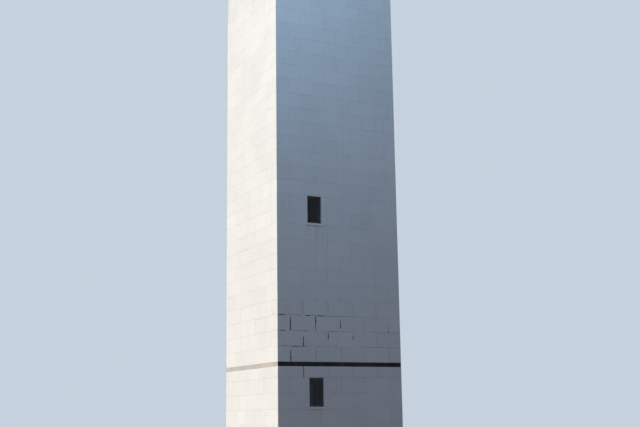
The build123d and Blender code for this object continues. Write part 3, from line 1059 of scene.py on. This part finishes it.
def ring_points(x, y, z, radius, count):
    """Points round a place, level."""
    turns = (2 * math.pi * i / count for i in range(count))
    return [Vector((x + radius * math.cos(turn), y + radius * math.sin(turn), z)) for turn in turns]


def rippled(radius, count):
    """The radii of a rippled weld bead."""
    return [radius * (1.0 + WELD_RIPPLE * (-1) ** i) for i in range(count)]


def add_bolt(shape, x, y, z, size):
    """Add a washer and a hexagon head on a flat top."""
    radius, height = size
    for reach, sides, low, high in ((radius * WASHER_SHARE, 20, 0, WASHER), (radius, 6, WASHER, height)):
        add_prism(shape, [point.xy for point in ring_points(x, y, z, reach, sides)], z + low, z + high)


def add_tube(shape, path, radii, sides, closed=False):
    """Add a round tube along a path, with a radius for each of its points."""
    count = len(path)
    rings = []
    across = None
    for i, point in enumerate(path):
        if closed:
            ahead = path[(i + 1) % count] - path[i - 1]
        else:
            ahead = path[min(i + 1, count - 1)] - path[max(i - 1, 0)]
        ahead.normalize()
        if across is None:
            across = ahead.orthogonal()
        across = (across - ahead * across.dot(ahead)).normalized()
        other = ahead.cross(across)
        ring = []
        for k in range(sides):
            turn = 2 * math.pi * k / sides
            spoke = across * math.cos(turn) + other * math.sin(turn)
            ring.append(shape.verts.new(point + spoke * radii[i]))
        rings.append(ring)
    add_skin(shape, rings + rings[:1] if closed else rings, capped=not closed)


def add_weld(shape, centre, side_a, side_b, half):
    """Add a rippled weld bead round a square tube, in the plane of two directions."""
    corners = [(-1, -1), (1, -1), (1, 1), (-1, 1)]
    steps = round(2 * half / WELD_STEP)
    path = []
    for (a0, b0), (a1, b1) in zip(corners, corners[1:] + corners[:1]):
        for t in (i / steps for i in range(steps)):
            path.append(centre + (side_a * (a0 + (a1 - a0) * t) + side_b * (b0 + (b1 - b0) * t)) * half)
    add_tube(shape, path, rippled(WELD_RADIUS, steps) * len(corners), WELD_SIDES, closed=True)


def rail_details(face):
    """Weld beads where the tubes of one side's guard rail meet, and bolts through its base plates."""
    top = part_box(f"rail_{face}")[1].z - RAIL_TUBE
    plate_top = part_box(f"coping_{face}")[1].z + RAIL_PLATE
    line = HALF - WALL / 2
    half = RAIL_TUBE / 2
    x_way, y_way, z_way = Vector((1, 0, 0)), Vector((0, 1, 0)), Vector((0, 0, 1))
    welds, bolts = bmesh.new(), bmesh.new()
    for x in (-line, 0.0):
        for z in (plate_top, top):
            add_weld(welds, Vector((x, -line, z)), x_way, y_way, half)
        for dx in (-BOLT_FROM_POST, BOLT_FROM_POST):
            for dy in (-BOLT_FROM_POST, BOLT_FROM_POST):
                add_bolt(bolts, x + dx, -line + dy, plate_top, RAIL_BOLT)
    for x in (-line + half, -half, half, line - half):
        add_weld(welds, Vector((x, -line, top - MID_RAIL_DROP + half)), y_way, z_way, half)
    turn_to(welds, face)
    turn_to(bolts, face)
    finish_piece(bmesh_piece(f"rail_bolts_{face}", bolts, BOLT_ROUNDING, 1), rail_paint)
    finish_piece(bmesh_piece(f"rail_welds_{face}", welds), rail_paint)


# The windows' putty and sealant

FRAME_WIDTH = 0.028

# The profiles of the putty and the sealant, as (inset, way out from the glass or the frame)
PUTTY = ((0.0, 0.0), (0.009, 0.0), (0.0072, 0.003), (0.001, 0.013), (0.0, 0.013))
SEAL = ((0.0, -0.002), (0.006, -0.001), (0.0036, 0.0025), (0.0, 0.005))


def add_moulding(shape, face, ends, heights, profile):
    """Add a mitred strip round a rectangle on a face: the profile is closed, as (inset, place outward)."""
    origin, along, out = FACES[face]
    loops = []
    for inset, outward in profile:
        corners = ((ends[0] + inset, heights[0] + inset), (ends[1] - inset, heights[0] + inset),
                   (ends[1] - inset, heights[1] - inset), (ends[0] + inset, heights[1] - inset))
        loops.append([shape.verts.new(origin + along * u + out * outward + Vector((0, 0, v)))
                      for u, v in corners])
    add_skin(shape, loops + loops[:1], capped=False)


def window_trim(face, number):
    """The putty that holds the glass, and the sealant between the frame and the blocks."""
    along, out = FACES[face][1:]
    name = f"{face}_window_frame_{number}"
    low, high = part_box(name)
    ends, heights = span(face, along, name), (low.z, high.z)
    inner = [(start + FRAME_WIDTH, end - FRAME_WIDTH) for start, end in (ends, heights)]
    panes = span(face, out, f"{face}_window_pane_{number}")
    shape = bmesh.new()
    for levels, profile, rectangle in ((panes, PUTTY, inner), (span(face, out, name), SEAL, (ends, heights))):
        for level, way in ((levels[1], 1), (levels[0], -1)):
            add_moulding(shape, face, *rectangle, [(inset, level + way * away) for inset, away in profile])
    face_outward(shape)
    finish_piece(bmesh_piece(f"{face}_window_trim_{number}", shape), frame_paint)


# The hatch lid

LID_EDGE = 0.004
LID_EDGE_STEPS = 4
LID_FROM_KERB = 0.010
HANDLE_FROM_EDGE = 0.12
HANDLE_LENGTH = 0.16
HANDLE_BAR = 0.014
HANDLE_BEND = 0.016
HANDLE_BEND_STEPS = 6
HANDLE_SIDES = 14
HANDLE_WELD = 0.0028
HANDLE_WELD_POINTS = 18
TREAD_PITCH = 0.04
TREAD_LENGTH = 0.028
TREAD_WIDTH = 0.008
TREAD_HEIGHT = 0.0024
TREAD_MARGIN = 0.045
TREAD_CLEAR_OF_HANDLE = 0.03
TREAD_CLEAR_OF_HINGE = 0.02
HINGE_FROM_MIDDLE = 0.3
HINGE_LENGTH = 0.1
HINGE_KNUCKLES = 3
HINGE_PLAY = 0.001
HINGE_AXIS_DROP = 0.002
HINGE_BARREL = 0.009
HINGE_PIN = 0.0045
HINGE_PIN_END = 0.004
HINGE_LEAF = 0.065
HINGE_LEAF_THICK = 0.004
HINGE_DROP = 0.055
HINGE_BOLT = (0.0065, 0.0075)
HINGE_BOLT_PITCH = 0.032
HINGE_BOLT_FROM_EDGE = 0.036
LID_ROUNDING = 0.0008


def add_rib(shape, x, y, z, turn):
    """Add one raised lens-shaped rib of tread plate."""
    ahead = Vector((math.cos(turn), math.sin(turn), 0))
    aside = Vector((-ahead.y, ahead.x, 0))
    middle = Vector((x, y, z))
    rim = []
    for a, b in ((-1, 0), (-0.45, -0.85), (0.45, -0.85), (1, 0), (0.45, 0.85), (-0.45, 0.85)):
        rim.append(shape.verts.new(middle + ahead * a * TREAD_LENGTH / 2 + aside * b * TREAD_WIDTH / 2))
    lift = Vector((0, 0, TREAD_HEIGHT))
    start, end = (shape.verts.new(middle + ahead * s * TREAD_LENGTH * 0.3 + lift) for s in (-1, 1))
    for corners in ((rim[0], rim[1], start), (rim[1], rim[2], end, start), (rim[2], rim[3], end),
                    (rim[3], rim[4], end), (rim[4], rim[5], start, end), (rim[5], rim[0], start), rim[::-1]):
        shape.faces.new(corners)


def add_lid_tray(shape, low, high):
    """Add the lid's folded tray: a plate with a rounded edge and a rim that hangs down."""
    middle_x, middle_y = (low.x + high.x) / 2, (low.y + high.y) / 2
    half = (high.x - low.x) / 2
    profile = [(half - LID_PLATE, LID_TOP - LID_PLATE), (half - LID_PLATE, low.z), (half, low.z)]
    for i in range(LID_EDGE_STEPS + 1):
        turn = math.pi / 2 * i / LID_EDGE_STEPS
        profile.append((half - LID_EDGE * (1 - math.cos(turn)), LID_TOP - LID_EDGE * (1 - math.sin(turn))))
    corners = ((-1, -1), (1, -1), (1, 1), (-1, 1))
    add_skin(shape, [[shape.verts.new((middle_x + reach * a, middle_y + reach * b, z)) for a, b in corners]
                     for reach, z in profile])


def add_handle(shape, middle_x, y, peak):
    """Add a round bar handle, up, round a bend, across and down again, with a weld round each foot."""
    half, bar = (HANDLE_LENGTH - HANDLE_BAR) / 2, HANDLE_BAR / 2
    turns = [math.pi / 2 / HANDLE_BEND_STEPS * i for i in range(HANDLE_BEND_STEPS + 1)]
    rising = [Vector((middle_x - half + HANDLE_BEND * (1 - math.cos(turn)), y,
                      peak - HANDLE_BEND + HANDLE_BEND * math.sin(turn))) for turn in turns]
    falling = [Vector((2 * middle_x - point.x, y, point.z)) for point in reversed(rising)]
    feet = [Vector((middle_x + side * half, y, LID_TOP)) for side in (-1, 1)]
    path = [feet[0], *rising, *falling, feet[1]]
    add_tube(shape, path, [bar] * len(path), HANDLE_SIDES)
    weld = rippled(HANDLE_WELD, HANDLE_WELD_POINTS)
    for foot in feet:
        add_tube(shape, ring_points(*foot, bar, HANDLE_WELD_POINTS), weld, WELD_SIDES, closed=True)


def add_hinge(shape, x, low, high):
    """Add a strap hinge: knuckles on a pin, a leaf on the lid with three bolts, and a leaf on the kerb."""
    leaf_y = high.y + HINGE_PLAY
    axis_y, axis_z = leaf_y + HINGE_BARREL, LID_TOP - HINGE_AXIS_DROP
    half = HINGE_LENGTH / 2
    knuckle = HINGE_LENGTH / HINGE_KNUCKLES
    rods = [(x - half + k * knuckle + HINGE_PLAY, x - half + (k + 1) * knuckle - HINGE_PLAY, HINGE_BARREL, 16)
            for k in range(HINGE_KNUCKLES)]
    rods.append((x - half - HINGE_PIN_END, x + half + HINGE_PIN_END, HINGE_PIN, 12))
    for start, end, radius, sides in rods:
        add_tube(shape, [Vector((place, axis_y, axis_z)) for place in (start, end)], [radius] * 2, sides)
    leaf_top = LID_TOP + HINGE_LEAF_THICK
    add_box(shape, (x - half, high.y - HINGE_LEAF, LID_TOP), (x + half, axis_y, leaf_top))
    foot = low.z - HINGE_DROP
    add_box(shape, (x - half, leaf_y, foot), (x + half, leaf_y + HINGE_LEAF_THICK, axis_z))
    kerb_side = high.y - LID_PLATE - LID_FROM_KERB
    add_box(shape, (x - half, kerb_side, foot), (x + half, leaf_y, low.z - LID_FROM_KERB))
    for place in (-1, 0, 1):
        add_bolt(shape, x + place * HINGE_BOLT_PITCH, high.y - HINGE_BOLT_FROM_EDGE, leaf_top, HINGE_BOLT)


def hatch_cover():
    """The hatch lid in tread plate, with a round bar handle and two strap hinges on the kerb."""
    low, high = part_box("hatch_lid")
    middle_x, middle_y = (low.x + high.x) / 2, (low.y + high.y) / 2
    handle_y = low.y + HANDLE_FROM_EDGE
    shape = bmesh.new()
    add_lid_tray(shape, low, high)
    count = int((high.x - low.x - 2 * TREAD_MARGIN) / TREAD_PITCH)
    for i in range(count + 1):
        for j in range(count + 1):
            x, y = (middle + (k - count / 2) * TREAD_PITCH for middle, k in ((middle_x, i), (middle_y, j)))
            aside = abs(x - middle_x)
            at_feet = max(abs(y - handle_y), abs(aside - HANDLE_LENGTH / 2)) < TREAD_CLEAR_OF_HANDLE
            at_hinge = (high.y - y < HINGE_LEAF + TREAD_CLEAR_OF_HINGE
                        and abs(aside - HINGE_FROM_MIDDLE) < HINGE_LENGTH / 2 + TREAD_CLEAR_OF_HINGE)
            if not at_feet and not at_hinge:
                add_rib(shape, x, y, LID_TOP, math.pi / 4 * (1 if (i + j) % 2 else -1))
    add_handle(shape, middle_x, handle_y, high.z - HANDLE_BAR / 2)
    for side in (-1, 1):
        add_hinge(shape, middle_x + side * HINGE_FROM_MIDDLE, low, high)
    face_outward(shape)
    piece = finish_piece(bmesh_piece("hatch_cover", shape, LID_ROUNDING, 1), hatch_paint)
    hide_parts("hatch_lid")


# Stage, light and camera

BACKGROUND = (0.56, 0.64, 0.73, 1)
SKY_LIGHT = (0.50, 0.655, 1.0, 1)
SKY_STRENGTH = 0.166
FLOOR_SEEN = (0.66, 0.69, 0.72, 1)
FLOOR_LIT = (0.19, 0.166, 0.178, 1)
FLOOR_RADIUS = 58.0
FLOOR_FADE_START = 9.0
FLOOR_FADE_END = 34.0
SUN_DISTANCE = 40


def make_world():
    """A pale background to look at, and a soft cool light from all round."""
    world = bpy.data.worlds.new("studio")
    bpy.context.scene.world = world
    world.use_nodes = True
    made = Nodes(world.node_tree)
    made.tree.nodes.clear()
    light = made.add("Background", {"Color": SKY_LIGHT, "Strength": SKY_STRENGTH})[0]
    shown = made.add("Background", {"Color": BACKGROUND, "Strength": 1.0})[0]
    mix = made.add("MixShader", {0: made.seen_by_eye(), 1: light, 2: shown})[0]
    made.add("OutputWorld", {0: mix})


def make_floor():
    """A wide pale floor that fades into the background, and gives little light back."""
    shape = bmesh.new()
    bmesh.ops.create_circle(shape, cap_ends=True, segments=96, radius=FLOOR_RADIUS)
    piece = bmesh_piece("studio_floor", shape)
    shader = Shader("studio_floor", 0.9)
    shader.fill(shader.surface, {"Specular IOR Level": 0.1})
    seen = shader.seen_by_eye()
    piece.data.materials.append(shader.finish(shader.blend(seen, FLOOR_LIT, FLOOR_SEEN)))
    reach = shader.add("VectorMath", {0: shader.place}, operation="LENGTH")["Value"]
    fade = shader.times(shader.ramp(reach, FLOOR_FADE_START, FLOOR_FADE_END, smooth=True), seen)
    far = shader.add("Emission", {"Color": BACKGROUND})[0]
    mix = shader.add("MixShader", {0: fade, 1: shader.surface.outputs[0], 2: far})[0]
    shader.fill(shader.tree.nodes["Material Output"], {0: mix})


def add_lamp(kind, name, place, aim, **settings):
    """A lamp that stands at a place and looks at a point."""
    lamp = bpy.data.lights.new(name, kind)
    for key, value in settings.items():
        setattr(lamp, key, value)
    holder = add_object(name, lamp)
    holder.rotation_mode = "QUATERNION"
    holder.rotation_quaternion = (Vector(place) - Vector(aim)).to_track_quat("Z", "Y")
    holder.location = place
    holder.visible_camera = False


def make_lights():
    """A warm key on the left side, a soft light behind, and a cool one high in front of the shaded face."""
    for name, way, energy, softness, color in (("key", (-0.84, 0.16, 0.52), 3.80, 6, (1.0, 0.972, 0.92)),
                                               ("behind", (0.62, 0.66, 0.42), 1.25, 40, (0.93, 0.96, 1.0))):
        place = Vector(way).normalized() * SUN_DISTANCE
        add_lamp("SUN", name, place, (0, 0, 0), energy=energy, angle=math.radians(softness), color=color)
    add_lamp("AREA", "high_front", (-3.0, -8.0, 14.5), (0.0, -HALF, 12.0),
             size=6.0, energy=430.0, color=(0.40, 0.67, 1.0))


# The camera of the photograph, in metres and degrees
EYE_HEIGHT = 1.71
EYE_FROM_CORNER = 21.198
EYE_ASIDE = 0.932
EYE_TURN = 26.337
EYE_PITCH = 11.309
EYE_ROLL = 0.820
LENS = 56.25


def make_camera():
    """An eye-level camera that looks up at the corner between the front and the left face."""
    turn, pitch = math.radians(EYE_TURN), math.radians(EYE_PITCH)
    along = Vector((math.sin(turn), math.cos(turn), 0))
    aside = Vector((math.cos(turn), -math.sin(turn), 0))
    corner = Vector((-HALF, -HALF, 0))
    data = bpy.data.cameras.new("camera")
    data.lens = LENS
    data.sensor_width = 36.0
    data.clip_end = 300.0
    camera = add_object("camera", data)
    place = corner - along * EYE_FROM_CORNER + aside * EYE_ASIDE + Vector((0, 0, EYE_HEIGHT))
    look = along * math.cos(pitch) + Vector((0, 0, math.sin(pitch)))
    aim = look.to_track_quat("-Z", "Y").to_matrix().to_4x4()
    roll = Matrix.Rotation(math.radians(-EYE_ROLL), 4, "Z")
    camera.matrix_world = Matrix.Translation(place) @ aim @ roll
    bpy.context.scene.camera = camera


dress_nodes()
for face_name in FACE_ORDER:
    for storey_number in range(1, STOREYS + 1):
        storey_blocks(face_name, storey_number)
    band_stones(face_name)
    parapet_blocks(face_name)
    coping_stones(face_name)
    rail_details(face_name)
for face_name in ("front", "back"):
    for window_number in (1, 2):
        window_trim(face_name, window_number)
hatch_cover()
base_casting()
deck_casting()

make_world()
make_floor()
make_lights()
make_camera()
bpy.context.scene.view_settings.view_transform = "Standard"
